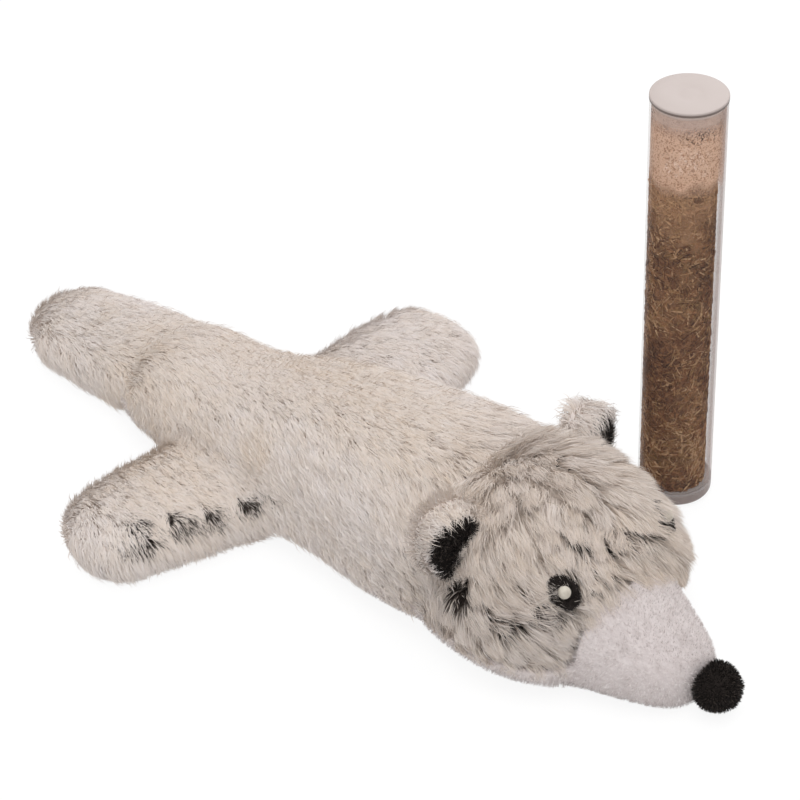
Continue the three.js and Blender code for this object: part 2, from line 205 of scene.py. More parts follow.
class Finish:
    def __init__(self, name, tree=None):
        if tree is None:
            self.material = bpy.data.materials.new(name)
            self.material.use_nodes = True
            tree = self.material.node_tree
        tree.nodes.clear()
        self.tree = tree

    # A node's settings come first, then its sockets by their order or their names
    def node(self, kind, settings=None, *inputs, out=0, **named):
        made = self.tree.nodes.new("ShaderNode" + kind)
        for key, value in (settings or {}).items():
            if key == "stops":
                elements = made.color_ramp.elements
                while len(elements) < len(value):
                    elements.new(0.5)
                for element, (place, colour) in zip(elements, value):
                    element.position, element.color = place, (*colour, 1)
            else:
                setattr(made, key, value)
        for place, value in [*enumerate(inputs), *((k.replace("_", " "), v) for k, v in named.items())]:
            self.give(made.inputs[place], value)
        return Wire(self, made.outputs[out]) if made.outputs else made

    def give(self, socket, value):
        if isinstance(value, Wire):
            self.tree.links.new(value.socket, socket)
        elif socket.type == "RGBA" and len(value) == 3:
            socket.default_value = (*value, 1)
        else:
            socket.default_value = value

    def position(self, *factors):
        place = self.node("TexCoord", out="Object")
        return self.node("Mapping", None, place, Scale=factors) if factors else place

    def axis(self, letter, at=None):
        return self.node("SeparateXYZ", None, at or self.position(), out=letter)

    def grain(self, scale, detail=2, at=None, **more):
        return self.node("TexNoise", None, Vector=at or self.position(), Scale=scale, Detail=detail, **more)

    def ramp(self, factor, *stops):
        return self.node("ValToRGB", {"stops": stops}, factor)

    # 0 below the first value, 1 above the second
    def rise(self, wire, start, end):
        return self.node("MapRange", {"clamp": True}, wire, start, end, 0, 1)

    def mix(self, factor, first, second, blend="MIX"):
        made = self.node("Mix", {"data_type": "RGBA", "blend_type": blend}, factor, out=2)
        mixer = made.socket.node
        self.give(mixer.inputs[6], first)
        self.give(mixer.inputs[7], second)
        return made

    # 1 where it is seen, also in a gloss or through a clear wall, and 0 for the light that it gives
    def seen(self):
        rays = [self.node("LightPath", out=f"Is {kind} Ray") for kind in ("Camera", "Glossy", "Transmission")]
        return rays[0].maths("MAXIMUM", rays[1]).maths("MAXIMUM", rays[2])

    # A bump has a height, a strength, and a distance in millimetres
    def surface(self, colour, roughness, gloss=0.5, bump=None, **sockets):
        if bump:
            height, strength, distance = bump
            sockets["Normal"] = self.node("Bump", None, Strength=strength, Distance=distance * mm, Height=height)
        shader = self.node("BsdfPrincipled", None, Base_Color=colour, Roughness=roughness,
                           Specular_IOR_Level=gloss, **sockets)
        self.node("OutputMaterial", None, shader)
        return self.material


# The camera of the photograph
view = {"place": (0.3561, -0.3741, 0.418), "towards": (-0.5526, 0.5823, -0.5962), "roll": 1.5, "lens": 140.4}


def makeCamera():
    data = bpy.data.cameras.new("camera")
    data.lens, data.sensor_width = view["lens"], 36
    data.clip_start, data.clip_end = 0.01, 20
    camera = linked(bpy.data.objects.new("camera", data))
    scene.camera = camera
    forward = Vector(view["towards"]).normalized()
    level = forward.cross(Vector((0, 0, 1))).normalized()
    upright = level.cross(forward)
    turn = math.radians(view["roll"])
    right = level * math.cos(turn) - upright * math.sin(turn)
    up = level * math.sin(turn) + upright * math.cos(turn)
    camera.matrix_world = Matrix.Translation(view["place"]) @ Matrix((right, up, -forward)).transposed().to_4x4()


# Soft studio light on a white floor: each lamp's power, place and size
studio = {"floorColour": 0.85, "floorGlow": 0.85, "glowStrength": 1.05, "skyLight": 0.56,
          "lamps": {"key": (6.4, (0.1, -0.1, 1.1), 0.9), "fill": (1.2, (0.5, -0.9, 0.6), 0.8),
                    "back": (3.4, (-0.3, 0.9, 0.8), 0.8)}}


def makeStudio():
    scene.view_settings.view_transform = "Standard"
    bpy.ops.mesh.primitive_plane_add(size=6, location=(0, 0, -0.2 * mm))
    floor = placed(named("floor"))
    look = Finish("paper")
    paint = look.node("BsdfDiffuse", None, Color=[studio["floorColour"]] * 3)
    glow = look.node("Emission", None, Color=(1, 1, 1), Strength=studio["glowStrength"])
    shown = look.node("MixShader", None, look.seen() * studio["floorGlow"], paint, glow)
    look.node("OutputMaterial", None, shown)
    floor.data.materials.append(look.material)
    world = bpy.data.worlds.new("sky")
    scene.world = world
    world.use_nodes = True
    sky = Finish("sky", world.node_tree)
    strength = sky.seen() * (1 - studio["skyLight"]) + studio["skyLight"]
    light = sky.node("Background", None, Color=(1, 1, 1), Strength=strength)
    sky.node("OutputWorld", None, light)
    for name, (power, place, size) in studio["lamps"].items():
        lamp = bpy.data.lights.new(name, "AREA")
        lamp.energy, lamp.size = power, size
        obj = linked(bpy.data.objects.new(name, lamp))
        obj.location = place
        obj.rotation_euler = (-Vector(place)).to_track_quat("-Z", "Y").to_euler()


makeCamera()
makeStudio()
print("camera and studio made")


# Long frosted pile: each strand's colour comes from its own map, across for its shade and up from root to tip
pileShades = 8


def strandMap(look):
    place = look.node("UVMap", {"uv_map": "OFBake"})
    return look.axis("X", place), look.axis("Y", place)


def frostedFur():
    look = Finish("frostedFur")
    across, up = strandMap(look)
    band = across * pileShades
    shade = band.maths("FLOOR") * (1 / (pileShades - 1))
    hue = band.maths("FRACT")
    tip = look.ramp(hue, (0, (0.7, 0.6, 0.51)), (0.3, (0.715, 0.64, 0.58)), (0.65, (0.735, 0.675, 0.64)),
                    (1, (0.78, 0.735, 0.73)))
    middle = look.ramp(hue, (0, (0.65, 0.565, 0.495)), (1, (0.68, 0.62, 0.585)))
    root = look.ramp(hue, (0, (0.03, 0.023, 0.02)), (1, (0.06, 0.046, 0.039)))
    lower = look.rise(up - shade * 0.72, -0.02, 0.12)
    upper = look.rise(up - shade * 0.76, 0.14, 0.46)
    return look.surface(look.mix(upper, look.mix(lower, root, middle), tip), 0.65, 0.2)


def blackPile():
    look = Finish("blackPile")
    across, up = strandMap(look)
    tip = look.ramp(across, (0, (0.004, 0.003, 0.003)), (0.55, (0.018, 0.013, 0.011)), (0.8, (0.05, 0.038, 0.032)),
                    (1, (0.12, 0.095, 0.08)))
    return look.surface(look.mix(up, (0.004, 0.004, 0.004), tip), 0.6, 0.25)


def whiteFuzz():
    look = Finish("whiteFuzz")
    across, _ = strandMap(look)
    colour = look.ramp(across, (0, (0.46, 0.41, 0.4)), (0.5, (0.66, 0.61, 0.6)), (1, (0.84, 0.8, 0.79)))
    return look.surface(colour, 0.8, 0.2)


# The undercoat under the long pile, as dark as the roots where the pile parts
def undercoat():
    look = Finish("undercoat")
    streaks = look.grain(520, 3, look.position(0.35, 1, 1), Distortion=0.6)
    colour = look.ramp(streaks, (0.3, (0.4, 0.335, 0.29)), (0.7, (0.62, 0.54, 0.48)))
    dark = look.ramp(look.grain(800, 2), (0.3, (0.02, 0.016, 0.014)), (0.7, (0.06, 0.046, 0.039)))
    parting = look.node("Attribute", {"attribute_name": "parting"}, out="Fac")
    return look.surface(look.mix(parting, colour, dark), 0.95, bump=(streaks, 0.8, 0.5))


# White plush, painted warmer and paler along the belly than on the snout: painted warm bounce light on one plush
def whitePlush():
    look = Finish("whitePlush")
    fibres = look.grain(1500, 3, look.position(0.2, 1, 0.8), Distortion=1.2)
    nap = look.grain(420, 3, look.position(0.3, 1, 1), Distortion=0.5)
    cloud = look.grain(70, 2)
    # The belly's warmer, paler colour is painted warm bounce light on the same plush as the snout
    belly = look.mix(cloud, (0.66, 0.58, 0.54), (0.72, 0.64, 0.6))
    snout = look.mix(cloud, (0.59, 0.525, 0.52), (0.66, 0.6, 0.59))
    colour = look.mix(look.rise(look.axis("X"), 38 * mm, 64 * mm), belly, snout)
    colour = look.mix(look.rise(fibres, 0.35, 0.68) * 0.6, colour, (0.78, 0.72, 0.71))
    colour = look.mix(look.rise(nap, 0.45, 0.7) * 0.4, colour, (0.75, 0.73, 0.72), "MULTIPLY")
    colour = look.mix(look.rise(look.grain(1500, 1), 0.74, 0.8) * 0.2, colour, (0.36, 0.31, 0.31))
    height = fibres * 0.5 + nap * 0.3 + look.grain(1900) * 0.2
    return look.surface(colour, 0.9, 0.15, bump=(height, 0.5, 0.5))


def blackFelt():
    look = Finish("blackFelt")
    fibres = look.grain(900, 4, Distortion=1.5)
    colour = look.ramp(fibres, (0.35, (0.007, 0.005, 0.004)), (0.7, (0.026, 0.02, 0.018)))
    return look.surface(colour, 0.95, 0.2, bump=(fibres, 0.8, 0.3))


def boneBead():
    look = Finish("boneBead")
    colour = look.ramp(look.grain(420, 3), (0.3, (0.42, 0.37, 0.31)), (0.55, (0.6, 0.55, 0.47)),
                       (0.75, (0.72, 0.68, 0.6)))
    colour = look.mix(look.rise(look.grain(1300, 2), 0.66, 0.74) * 0.5, colour, (0.14, 0.11, 0.09))
    return look.surface(colour, 0.45 + look.grain(600) * 0.2, bump=(look.grain(700), 0.3, 0.15))


furLook, blackPileLook, fuzzLook = frostedFur(), blackPile(), whiteFuzz()
undercoatLook, plushLook, feltLook, beadLook = undercoat(), whitePlush(), blackFelt(), boneBead()
print("fabrics made")


# Strands
rng = np.random.default_rng(20)
waves = [(rng.normal(size=3) * 60, rng.uniform(0, 6.28)) for _ in range(30)]


def unit(v):
    return v / np.maximum(norm(v, axis=-1, keepdims=True), 1e-9)


# What is left of some directions along the surface that they are on
def alongSurface(v, n):
    return unit(v - (v * n).sum(1, keepdims=True) * n)


# 0 below the first value, 1 above the second
def rising(values, start, end):
    return np.clip((values - start) / (end - start), 0, 1)


# 1 at a place and fading round it, both in millimetres
def nearness(points, place, size):
    return np.exp(-(norm(points / mm - np.array(place), axis=1) / size) ** 2)


# A smooth value from -1 to 1 at each point, coarser or finer by the scale
def drift(points, scale, start):
    total = sum(np.sin(points @ k * scale + phase) for k, phase in waves[start:start + 6])
    return np.clip(total / 3, -1, 1)


def meshPoints(obj):
    co, normals = (np.empty(len(obj.data.vertices) * 3) for _ in range(2))
    obj.data.vertices.foreach_get("co", co)
    obj.data.vertices.foreach_get("normal", normals)
    return co.reshape(-1, 3), normals.reshape(-1, 3)


def shaped(obj, points):
    obj.data.vertices.foreach_set("co", points.ravel())
    obj.data.update()


# Presses a piece in by a depth at each point, and keeps it over a floor, both in millimetres
def pressedIn(obj, depths, floor=0):
    co, n = meshPoints(obj)
    co = co - n * (depths(co) * mm)[:, None]
    co[:, 2] = np.maximum(co[:, 2], floor * mm)
    shaped(obj, co)


# Evenly random places on a form that a test keeps, the smooth normal there, and the nearest of its points
def scattered(form, perMm2, keep=lambda at, n, nearest: slice(None)):
    mesh = form.data
    mesh.calc_loop_triangles()
    co, normals = meshPoints(form)
    faces = np.empty(len(mesh.loop_triangles) * 3, np.int32)
    mesh.loop_triangles.foreach_get("vertices", faces)
    faces = faces.reshape(-1, 3)
    corners = co[faces]
    areas = norm(np.cross(corners[:, 1] - corners[:, 0], corners[:, 2] - corners[:, 0]), axis=1) / 2
    count = int(areas.sum() / mm ** 2 * perMm2)
    chosen = rng.choice(len(faces), count, p=areas / areas.sum())
    a, b = rng.random(count), rng.random(count)
    flip = a + b > 1
    a[flip], b[flip] = 1 - a[flip], 1 - b[flip]
    share = np.stack([1 - a - b, a, b], 1)
    places = (corners[chosen] * share[:, :, None]).sum(1)
    facing = unit((normals[faces[chosen]] * share[:, :, None]).sum(1))
    nearest = faces[chosen][np.arange(count), share.argmax(1)]
    kept = keep(places, facing, nearest)
    return places[kept], facing[kept], nearest[kept]


def nearestOf(places, centres):
    tree = kdtree.KDTree(len(centres))
    for i, centre in enumerate(centres):
        tree.insert(centre, i)
    tree.balance()
    return np.array([tree.find(p)[1] for p in places], int)


def treeOf(mesh):
    return BVHTree.FromPolygons([v.co for v in mesh.vertices], [p.vertices for p in mesh.polygons])


def nearestNode(points, names):
    trees = [treeOf(nodes[n].data) for n in names]
    far = np.array([[tree.find_nearest(p)[3] for tree in trees] for p in points])
    return far.argmin(1), far


# A bundle of strands. The width is in millimetres.
def bundle(roots, middles, tips, facing, width, across, flat=0.9):
    every = np.ones(len(roots))
    return {"roots": roots, "middles": middles, "tips": tips, "facing": facing,
            "width": every * width * mm, "across": every * across, "flat": every * flat}


# Tapered ribbons from roots over middles to tips, with the map of their colour
def ribbons(name, strands, steps):
    roots, middles, tips, facing = (strands[k] for k in ("roots", "middles", "tips", "facing"))
    count, rows = len(roots), len(steps)
    t = np.array(steps)[None, :, None]
    line = (1 - t) ** 2 * roots[:, None] + 2 * t * (1 - t) * middles[:, None] + t ** 2 * tips[:, None]
    tangent = unit(np.gradient(line, axis=1))
    twist = unit(facing * strands["flat"][:, None] + rng.normal(size=facing.shape))
    side = unit(np.cross(tangent, twist[:, None])) * (strands["width"][:, None, None] / 2)
    taper = np.interp(steps, (0, 0.4, 0.75, 1), (1, 0.95, 0.6, 0))[None, :, None]
    left, right = line - side * taper, line + side * taper
    points = np.empty((count, rows * 2 - 1, 3))
    points[:, 0:-1:2], points[:, 1::2], points[:, -1] = left[:, :-1], right[:, :-1], line[:, -1]
    corners = np.array([c for i in range(rows - 2) for c in (2 * i, 2 * i + 1, 2 * i + 3, 2 * i + 2)]
                       + [2 * rows - 4, 2 * rows - 3, 2 * rows - 2])
    loops = (corners[None] + (np.arange(count) * (2 * rows - 1))[:, None]).ravel()
    sizes = np.tile([4] * (rows - 2) + [3], count)
    mesh = bpy.data.meshes.new(name)
    mesh.vertices.add(count * (2 * rows - 1))
    mesh.vertices.foreach_set("co", points.astype(np.float32).ravel())
    mesh.loops.add(len(loops))
    mesh.loops.foreach_set("vertex_index", loops.astype(np.int32))
    mesh.polygons.add(len(sizes))
    mesh.polygons.foreach_set("loop_start", (np.cumsum(sizes) - sizes).astype(np.int32))
    mesh.polygons.foreach_set("use_smooth", np.ones(len(sizes), bool))
    up = np.append(np.repeat(np.array(steps[:-1]), 2), 1) * 0.97 + 0.015
    across = strands["across"][:, None] + np.append(np.tile([-0.0035, 0.0035], rows - 1), 0)[None]
    uv = np.stack([across[:, corners], np.broadcast_to(up[corners], (count, len(corners)))], -1)
    mesh.uv_layers.new(name="OFBake").data.foreach_set("uv", uv.astype(np.float32).ravel())
    mesh.update(calc_edges=True)
    return linked(bpy.data.objects.new(name, mesh))


# Where the pile parts and its dark roots show: a line in millimetres, its width, how dark it is and how far it opens
partings = {
    "mask": ([(37.5, -25.3, 19), (42.5, -25.8, 16.6), (47.7, -25.1, 16.8), (53.2, -23.7, 17.1), (57.1, -20.2, 19.7),
              (58.8, -17, 21.1)], 3, 1, 0.6),
    "muzzle": ([(58.8, -17, 21.1), (60.2, -12, 23.4), (59.6, -9.4, 24.8)], 2.2, 0.6, 0.3),
    "brow": ([(59.4, -9.4, 24.8), (57.2, -7, 28.3), (54, -6, 31.2)], 3.2, 1, 0.2),
    "farBrow": ([(58.6, 1, 27), (60.1, 4.6, 25.1), (59, 10.4, 25.1)], 2.3, 1.1, 0.3),
    "nearLeg": ([(-31, -50, 10), (-28.5, -44, 10.4), (-27.5, -38, 10.6), (-24.5, -32, 10.5), (-21, -24, 11),
                 (-16, -21, 12)], 2.5, 2.1, 0.2),
    "legOuter": ([(-32.5, -45.5, 10.6), (-28.5, -46, 9.8)], 3.3, 2.2, 0.4),
    "legMiddle": ([(-29, -38, 11.3), (-25.5, -38.6, 10.3)], 2.2, 1, 0.4),
    "legInner": ([(-24.5, -31.8, 10.9), (-21.5, -32.3, 9.9)], 2.3, 1.2, 0.3),
    "legCrease": ([(-21, -24.8, 11.3), (-18, -25.3, 10.6)], 1.9, 1.2, 0.4),
    "farLeg": ([(-31, 50, 10), (-28, 40, 10.4), (-24.5, 32, 10.5), (-20, 24, 11)], 2, 0.5, 0.4),
}


# How dark the roots show at each place, how near a parting is, and the way from it
def parted(places):
    dark, near, away = np.zeros(len(places)), np.zeros(len(places)), np.zeros_like(places)
    for line, width, depth, opening in partings.values():
        points = np.array(line, float) * mm
        for a, b in zip(points[:-1], points[1:]):
            along = np.clip(((places - a) @ (b - a)) / ((b - a) @ (b - a)), 0, 1)
            off = places - (a + along[:, None] * (b - a))
            far = norm(off, axis=1) / mm
            close = opening * np.exp(-((far / (width + 3.5)) ** 2))
            dark = np.maximum(dark, depth * np.exp(-((far / width) ** 2)))
            better = close > near
            near[better], away[better] = close[better], unit(off)[better]
    coarse, fine = drift(places, 5, 24) * 2.2 + 0.5, drift(places, 14, 12) * 1.6 + 0.6
    patchy = np.clip(coarse, 0, 1) * (0.4 + 0.6 * np.clip(fine, 0, 1))
    return dark * (0.4 + 0.6 * patchy), near, away


headRange = 5, 30  # where the body turns into the head, in millimetres along X
headPile = {"loose": 0.8, "reach": 1.6, "proud": 0.8, "rim": (55, 58), "rimProud": 1.2}
# The thick fluff of the brow that half hides the far eye, and a creamy patch on the back
fluff = {"at": (55.5, 10.3, 29.2), "size": 5.5, "reach": 1.3, "proud": 4.3}
cream = {"at": (-26.9, -17.2, 20.8), "size": 5, "tint": 0.45}


def headShare(at):
    return rising(at[:, 0] / mm, *headRange)


# A pile over roots on a form: how it rises, leans and gathers in tufts
def pile(places, facing, depth, lean, spec, tufts):
    count = len(places)
    hood = headShare(places) * spec["hood"]

    def grown(at, n, deep, loose):
        _, near, away = parted(at)
        head, rim = headShare(at) * spec["hood"], rising(at[:, 0] / mm, *headPile["rim"]) * spec["hood"]
        nap = lean(at, n) + rng.normal(size=at.shape) * (loose * (1 + headPile["loose"] * head))[:, None]
        nap = alongSurface(nap + np.cross(n, nap) * (drift(at, 1.2, 0) * spec["swirl"] * (1 + head))[:, None], n)
        inward = np.minimum((nap * away).sum(1), 0) * np.clip(near * 2.2, 0, 1)
        nap = alongSurface(nap - away * inward[:, None] + away * (near * 0.3)[:, None], n)
        tall = np.clip(1 + drift(at, 3.2, 6) * 0.1 + rng.normal(size=len(at)) * spec["uneven"], 0.4, 1.7)
        short = np.clip(deep / (spec["fullDepth"] * mm), 0.62 - 0.24 * head, 1)
        over = nearness(at, fluff["at"], fluff["size"]) * head
        reach = spec["reach"] + headPile["reach"] * head + fluff["reach"] * over
        proud = spec["proud"] + 1.5 * (1 - short) + headPile["proud"] * head + headPile["rimProud"] * rim
        proud = (proud + fluff["proud"] * over) * mm * tall * short
        reach = reach * mm * tall * (1 - 0.35 * near) * (1 - 0.3 * rim) * short
        return n * (deep + proud)[:, None], nap * reach[:, None]

    rise, run = grown(places, facing, depth, spec["loose"])
    stray = (rng.random(count) < spec["stray"]) * rng.uniform(0.3, 1.4, count)
    lift = facing * (stray * mm)[:, None]
    rise = rise + lift
    tuftPlaces, tuftFacing, tuftDepth = tufts
    tuftRise, tuftRun = grown(*tufts, spec["tuftLoose"])
    own = nearestOf(places, tuftPlaces)
    roots = places - facing * depth[:, None]
    tips = roots + rise + run
    tuftTips = tuftPlaces - tuftFacing * tuftDepth[:, None] + tuftRise + tuftRun
    gather = np.clip(spec["gather"] + 0.3 * hood + rng.normal(size=count) * 0.18, 0, 0.9)[:, None]
    drawn = (tuftTips[own] - tips) * gather
    drawn *= np.minimum(1, 3.5 * mm / np.maximum(norm(drawn, axis=1, keepdims=True), 1e-9))
    wild = hood[:, None]  # the pile of the body is combed flat, and that of the head stands up
    middles = roots + (rise - lift) * (1.3 - 0.55 * wild) + lift * 0.6 + run * (0.12 + 0.08 * wild) + drawn * 0.2
    tips = tips - rise * 0.12 * (1 - wild) + drawn
    for points in (roots, middles, tips):
        points[:, 2] = np.maximum(points[:, 2], (0.15 + 0.4 * rng.random(count)) * mm)
    # How dark each strand is: by partings, head, patches, streaks, chance, and painted shade out on the flanks and
    # limbs
    tuftShade = rng.random(len(tuftPlaces))
    streak = (tuftShade[own] > 0.955) * (1.2 + 1.5 * rng.random(count)) * (0.25 + 0.75 * hood)
    level = parted(places)[0] * rng.uniform(2, 7, count) + hood * rng.uniform(0.15, 2.6, count)
    level = level + np.clip(drift(places, 2.4, 12), 0, 1) * spec["patches"] + streak
    level += rng.random(count) ** 4 * (0.85 + 0.75 * hood)
    # Darker strands out on the flanks and limbs: painted shade, where the sides get less light from above
    level += rising(abs(places[:, 1]) / mm, 21, 25) * (1 - hood) * rng.uniform(0.2, 2.4, count) * spec["paintedLimbShade"]
    fullness = np.clip(depth / (0.6 * spec["fullDepth"] * mm), 0, 1)
    shade = np.clip(np.floor(level * fullness), 0, pileShades - 1)
    tint = nearness(places, cream["at"], cream["size"]) * cream["tint"]
    hue = 0.55 - 0.17 * hood + 0.3 * rising(-places[:, 0] / mm, 76, 86) - tint + drift(places, 0.9, 18) * 0.3
    hue = np.clip(hue + (tuftShade[own] - 0.5) * 0.25 + rng.normal(size=count) * 0.12, 0, 1)
    width = spec["width"] * rng.uniform(0.7, 1.25, count) / math.sqrt(thin)
    return bundle(roots, middles, tips, facing, width, (shade + 0.06 + 0.88 * hue) / pileShades, 2.6 - 1.7 * hood)


# Strands as pieces in order along the animal. Light passes through fine pile, and only its guard hairs cast shadows.
mostStrands = 38000
guardShare = 0.015, 0.11  # on the body and on the head


def furPieces(name, strands, body, material, slot, steps=(0, 0.38, 0.74, 1), chosen=None):
    if chosen is None:
        chosen = np.arange(len(strands["roots"]))
    share = np.interp(strands["roots"][chosen, 0] / mm, headRange, guardShare)
    coarse = (rng.random(len(chosen)) < share) & (slot == "fur")
    for kind, some in (("", chosen[~coarse]), ("_guard", chosen[coarse])):
        if len(some) == 0:
            continue
        order = some[np.argsort(strands["roots"][some, 0])]
        pieces = math.ceil(len(order) / mostStrands)
        for i, part in enumerate(np.array_split(order, pieces)):
            label = f"{name}{kind}_{i + 1}" if pieces > 1 else name + kind
            obj = ribbons(label, {key: value[part] for key, value in strands.items()}, steps)
            finished(obj, body, slot, material)
            obj.visible_shadow = bool(kind)
    print(name, len(chosen), "strands")


# Smooths a form by a weight where one of its shares is above a low and up to a high value
def smoothedWhere(form, shares, weights, times):
    group = form.vertex_groups.new(name="smoothed")
    for share in shares:
        for low, high, weight in weights:
            group.add(np.nonzero((share > low) & (share <= high))[0].tolist(), weight, "REPLACE")
    modified(form, "SMOOTH", factor=0.5, iterations=times, vertex_group="smoothed")


# The whole soft animal as one form, which of its pieces each point belongs to, and how deep the pile is there
fur = {"strandsPerMm2": 11.5, "tuftsPerMm2": 0.2, "fullDepth": 4.8, "limbDepth": 3.6, "seamDepth": 1.4, "seamRamp": 7,
       "undercoat": 0.5, "proud": 0.3, "reach": 5.8, "width": 0.23, "swirl": 0.3, "loose": 0.15, "tuftLoose": 0.24,
       "uneven": 0.12, "gather": 0.22, "patches": 0.25, "hood": 1, "paintedLimbShade": 1, "stray": 0.1}
# Where the stuffed animal is pressed in, or below 0 stands fuller: place, size and depth in millimetres
presses = [((-47, 9, 23), 16, 2.2), ((-18, -24, 5), 7, -2), ((58, -19, 12), 8, 2.5),
           ((-92, -14, 6), 10, 1.4), ((-79, -14, 6), 8, 1.4)]
# What fills the folds where the limbs meet the body, by place and radii, and where the cloth there is smoothed
fillers = [((-73.5, 0.5, 7.5), (8, 13.5, 8.5)), ((-33, -22, 5.5), (14.5, 7, 6.5)), ((-33, 22, 5.5), (14.5, 7, 6.5))]
softened = [((-72, -9, 6), 9), ((-72, 0, 12), 10), ((-72, 10, 6), 9), ((-18, -23, 5), 8), ((-18, 23, 5), 8),
            ((-47, -22, 5), 7), ((-47, 22, 5), 7), ((-32, -21, 10), 8), ((-32, 21, 10), 8)]
furParts = ["back_fur", "head_fur", "left_leg", "right_leg", "tail", "belly_panel"]
insides = ["body_stuffing", "head_stuffing", "pocket_lining", "catnip_pouch", "pocket_flap"]
belly = furParts.index("belly_panel")
limbs = ["left_leg", "right_leg", "tail"]
seam = (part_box("belly_panel")[1].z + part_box("back_fur")[0].z) / 2

form = softForm([*furParts, *insides], "wholeForm", 1.1, 14, fillers)
points, _ = meshPoints(form)
smoothedWhere(form, [nearness(points, *spot) for spot in softened], ((0.35, 0.7, 0.35), (0.7, 1.05, 0.7)), 50)
points, pointNormals = meshPoints(form)
for place, size, depth in presses:
    points = points - pointNormals * (nearness(points, place, size) * depth * mm)[:, None]
points[:, 2] = np.maximum(points[:, 2], 0)
shaped(form, points)
points, pointNormals = meshPoints(form)
owner, far = nearestNode(points, furParts)
owner = np.where(points[:, 2] > seam - 1.5 * mm, far[:, :5].argmin(1), owner)
isLimb = np.isin(owner, [furParts.index(n) for n in limbs])
deep = np.interp(points[:, 2] - seam, (0, fur["seamRamp"] * mm), (fur["seamDepth"] * mm, fur["fullDepth"] * mm))
besideLimb = np.clip(1.5 - far[:, 2:5].min(1) / (6 * mm), 0, 1)
deep = np.where(isLimb, fur["limbDepth"] * mm, np.maximum(deep, fur["limbDepth"] * mm * besideLimb))


def bodyOf(part):
    return overHinge(part) if part in limbs else "body"


def trunkLean(at, n):
    y, z = at[:, 1] / mm, (at[:, 2] - seam) / mm
    head = headShare(at)
    across = np.interp(y, (-20, 4, 9, 16), (-0.3, -0.45, 0.2, 0.8)) * head
    across += np.interp(y, (-16, -6, 8, 16), (-0.1, 0.1, 0.2, 0.3)) * (1 - head)
    hang = np.clip(1.1 - z / 6, 0, 1) * (1 - head)
    rear = rising(-n[:, 0], 0.3, 0.7) * (1 - head)  # behind, the pile leans up, so that it parts underneath
    down = (-0.12 - 0.38 * head) * (0.6 + 0.4 * rising(z, 0, 5)) - hang + 2.4 * rear
    over = np.stack([np.full(len(at), 1.3), np.where(y < -3, -0.5, 0.4), np.full(len(at), -0.3)], 1)
    rim = rising(at[:, 0] / mm, 56.5, 59.5)[:, None]
    return np.stack([np.ones(len(at)), across, down], 1) * (1 - rim) + over * rim


def covered(places, facing, at):
    above = isLimb[at] | (owner[at] != belly)
    return above & ((facing[:, 2] > -0.6) | (rng.random(len(places)) < 0.35))


def tufted(places, facing, at):
    return covered(places, facing, at) & (rng.random(len(places)) > 0.6 * headShare(places))


eyeClearing = {"left": 3.9, "right": 5.1}  # how far from each eye the pile ends, in millimetres

places, facing, at = scattered(form, fur["strandsPerMm2"] * thin, covered)
for side, radius in eyeClearing.items():
    low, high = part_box(side + "_eye_felt")
    ahead = places + facing * 1.5 * mm + unit(trunkLean(places, facing)) * 2.7 * mm
    kept = norm(ahead - np.array((low + high) / 2), axis=1) > radius * mm
    places, facing, at = places[kept], facing[kept], at[kept]
*tufts, tuftAt = scattered(form, fur["tuftsPerMm2"], tufted)
strands = pile(places, facing, deep[at], trunkLean, fur, (*tufts, deep[tuftAt]))

# The snout and the belly are one plush, smoothest at the snout. The pile at the rim of the head lies over it.
plush = {"voxel": 0.8, "smoothing": 4, "snoutSmoothing": 22, "from": 48, "full": 58, "rim": 57, "split": 60.5}
plushForm = softForm(["snout", "belly_panel"], "plushForm", plush["voxel"], plush["smoothing"])
plushPoints, _ = meshPoints(plushForm)
smoothedWhere(plushForm, [rising(plushPoints[:, 0] / mm, plush["from"], plush["full"])],
              [(step - 0.25, step, step) for step in (0.25, 0.5, 0.75, 1)], plush["snoutSmoothing"])
plushPoints, _ = meshPoints(plushForm)
plushOwner, _ = nearestNode(plushPoints, ["snout", "belly_panel"])
plushTree = treeOf(plushForm.data)
for i in np.nonzero((strands["tips"][:, 0] > plush["rim"] * mm) & (owner[at] != belly))[0]:
    for key, clear in (("middles", 0.9), ("tips", 0.5)):
        spot, out, _, _ = plushTree.find_nearest(strands[key][i])
        lift = clear * (0.6 + (i % 7) / 5) * mm - (Vector(strands[key][i]) - spot).dot(out)
        if lift > 0:
            strands[key][i] += np.array(out) * lift
for i, part in enumerate(furParts[:5]):
    furPieces(part.replace("_fur", "") + "_pile", strands, bodyOf(part), furLook, "fur",
              chosen=np.nonzero(owner[at] == i)[0])


# The skin of a form over the faces that belong to one piece
def skinOf(form, name, belongs):
    skin = linked(form.copy())
    skin.data = form.data.copy()
    only(skin)
    named(name)
    for face in skin.data.polygons:
        face.select = not belongs(face.vertices)
    mode("EDIT")
    bpy.ops.mesh.delete(type="FACE")
    mode("OBJECT")
    return skin


# The undercoat, cut where the plush of the belly begins and deeper where the pile parts
dark, near, _ = parted(points)
form.data.attributes.new("parting", "FLOAT", "POINT").data.foreach_set("value", np.clip(dark * 1.3, 0, 1))
inside = points - pointNormals * (deep * (fur["undercoat"] + (1 - fur["undercoat"]) * near))[:, None]
shaped(form, inside)
modified(form, "SMOOTH", factor=0.5, iterations=1)
for i, part in enumerate(furParts[:5]):
    name = part.replace("_fur", "") + "_undercoat"
    skin = skinOf(form, name, lambda vertices: any(owner[v] == i for v in vertices))
    finished(skin, bodyOf(part), "fur", undercoatLook, part, fill=0.7)
bpy.data.objects.remove(form)
print("fur made")

# White plush of the belly and the snout, with a short fuzz
fuzz = {"perMm2": 9, "length": 0.9, "width": 0.12}


